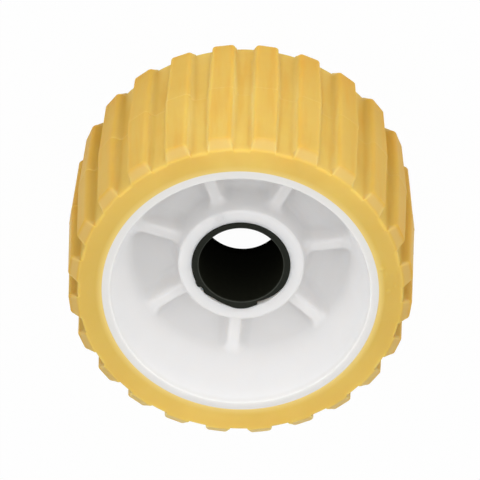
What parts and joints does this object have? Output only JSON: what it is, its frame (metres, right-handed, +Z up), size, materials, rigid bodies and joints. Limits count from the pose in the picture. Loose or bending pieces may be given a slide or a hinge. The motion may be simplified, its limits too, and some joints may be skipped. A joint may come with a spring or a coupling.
{
  "type": "boat trailer roller",
  "caption": "Ribbed boat trailer roller: a rubber tyre with lugs moulded on a dished plastic hub, with a plain bush in its bore.",
  "frame": {"origin": "on the roller's axis at its lower end face", "axes": "+Z up along the roller's axis, +X and +Y across it"},
  "size_m": [0.1206, 0.1206, 0.073],
  "materials": {
    "tyre_rubber": "amber moulded rubber, satin",
    "hub_plastic": "white moulded polypropylene, matte",
    "bush_plastic": "black moulded nylon, matte"
  },
  "bodies": {
    "root": {"tyre": "tyre_rubber", "hub": "hub_plastic", "bush": "bush_plastic"}
  },
  "joints": []
}
